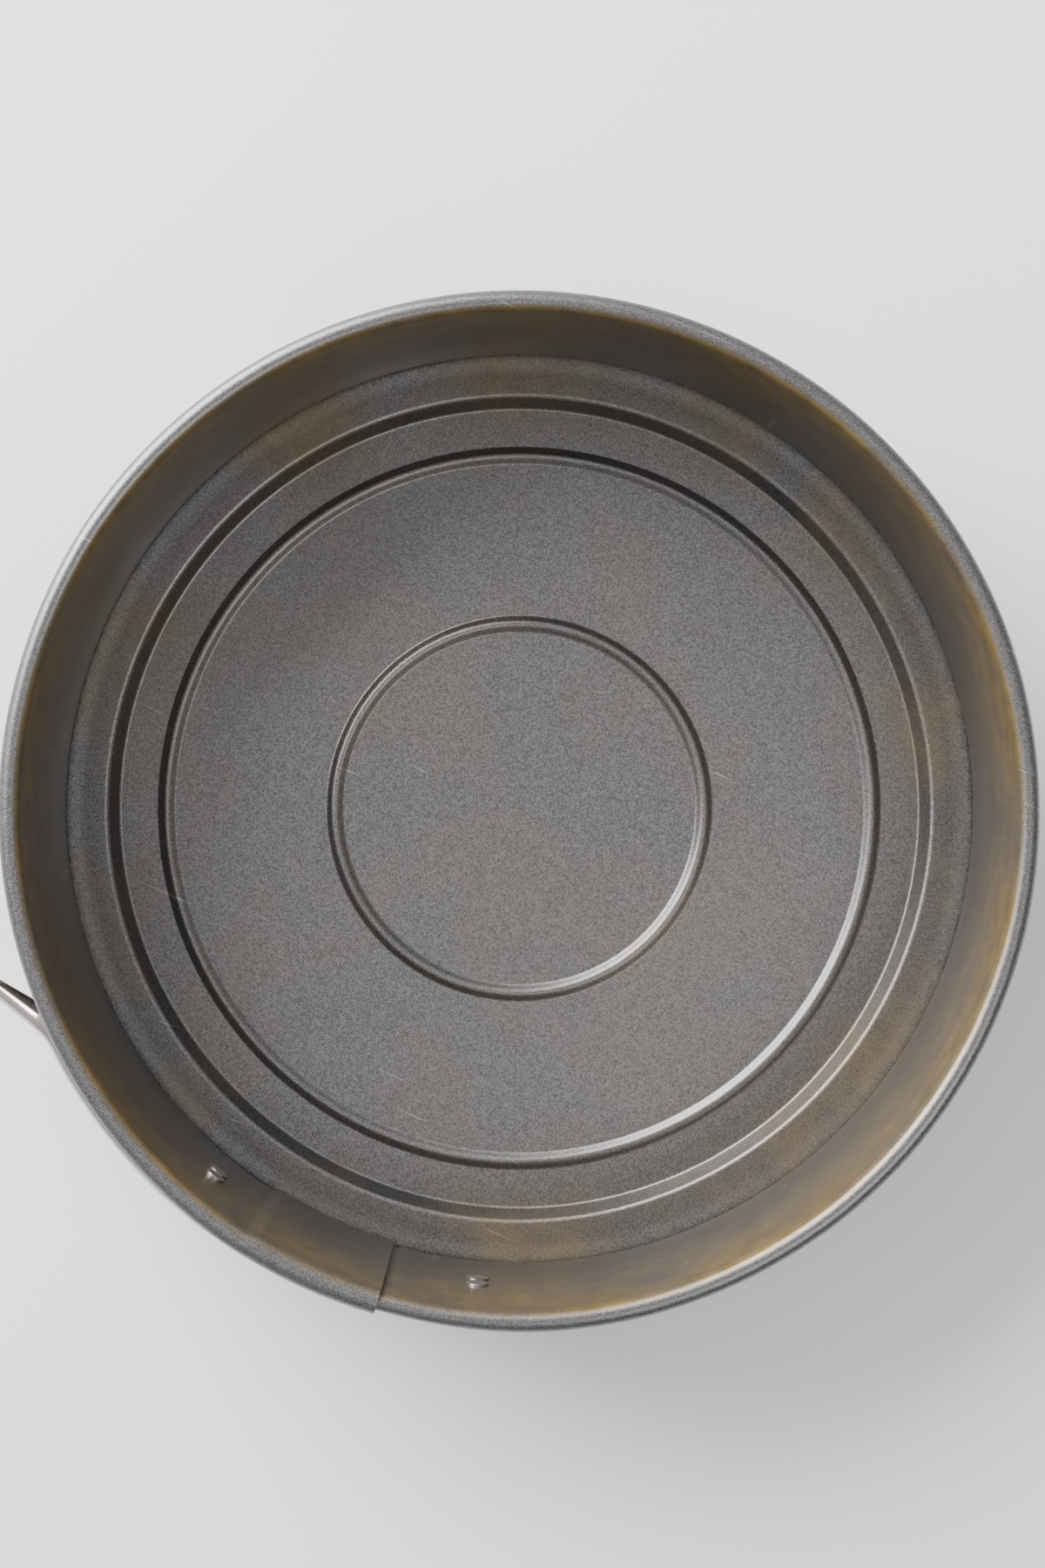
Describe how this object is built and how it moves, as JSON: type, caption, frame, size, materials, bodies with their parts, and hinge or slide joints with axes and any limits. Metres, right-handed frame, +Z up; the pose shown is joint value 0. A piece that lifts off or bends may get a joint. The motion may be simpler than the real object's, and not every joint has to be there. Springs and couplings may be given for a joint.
{
  "type": "springform pan",
  "caption": "Round springform baking pan with a rolled rim, a split side band that clamps a loose base plate, and an over-centre lever latch.",
  "frame": {"origin": "centre of the base plate's underside, on the surface the pan stands on", "axes": "+Z up along the pan's axis; -Y points at the seam in the rim; the latch lever's tip lies on the -X side"},
  "size_m": [0.239, 0.2417, 0.0706],
  "materials": {
    "nonstick_steel": "grey metallic non-stick coating on steel sheet",
    "plated_steel": "zinc-plated steel, satin",
    "bright_plate": "bright nickel plate",
    "rivet_steel": "plain steel"
  },
  "bodies": {
    "base": {"base_plate": "nonstick_steel"},
    "back": {"band_back": "nonstick_steel"},
    "left_side": {"band_left_side": "nonstick_steel"},
    "left_end": {"band_left_end": "nonstick_steel", "lever_bracket": "plated_steel", "lever_pin": "plated_steel", "bracket_rivet_upper": "rivet_steel", "bracket_rivet_lower": "rivet_steel"},
    "right_side": {"band_right_side": "nonstick_steel"},
    "right_end": {"band_right_end": "nonstick_steel", "hook_bracket": "plated_steel", "hook_rivet_upper": "rivet_steel", "hook_rivet_lower": "rivet_steel"},
    "lever_arm": {"lever": "bright_plate"},
    "bail_loop": {"bail": "plated_steel"}
  },
  "joints": [
    {"name": "lever_swing", "type": "hinge", "parent": "left_end", "child": "lever_arm", "pos_m": [-0.02398, -0.11789, 0.0357], "axis": [0, 0, 1], "range_deg": [0, 150]},
    {"name": "bail_swing", "type": "hinge", "parent": "lever_arm", "child": "bail_loop", "pos_m": [-0.03378, -0.11611, 0.0357], "axis": [0, 0, 1], "range_deg": [-180, 0]},
    {"name": "back_shift", "type": "slide", "parent": "base", "child": "back", "axis": [0, 1, 0], "range_m": [0, 0.0032]},
    {"name": "left_side_flex", "type": "hinge", "parent": "back", "child": "left_side", "pos_m": [-0.06877, 0.09466, 0.035], "axis": [0, 0, 1], "range_deg": [-1.96, 0]},
    {"name": "left_end_flex", "type": "hinge", "parent": "left_side", "child": "left_end", "pos_m": [-0.11127, -0.03615, 0.035], "axis": [0, 0, 1], "range_deg": [-1.96, 0]},
    {"name": "right_side_flex", "type": "hinge", "parent": "back", "child": "right_side", "pos_m": [0.06877, 0.09466, 0.035], "axis": [0, 0, 1], "range_deg": [0, 1.96]},
    {"name": "right_end_flex", "type": "hinge", "parent": "right_side", "child": "right_end", "pos_m": [0.11127, -0.03615, 0.035], "axis": [0, 0, 1], "range_deg": [0, 1.96]}
  ],
  "couplings": [
    {"joint": "bail_swing", "follows": "lever_swing", "ratio": -1.2},
    {"joint": "back_shift", "follows": "lever_swing", "m_per_rad": 0.0012223},
    {"joint": "left_side_flex", "follows": "lever_swing", "ratio": -0.01305},
    {"joint": "left_end_flex", "follows": "lever_swing", "ratio": -0.01305},
    {"joint": "right_side_flex", "follows": "lever_swing", "ratio": 0.01305},
    {"joint": "right_end_flex", "follows": "lever_swing", "ratio": 0.01305}
  ]
}
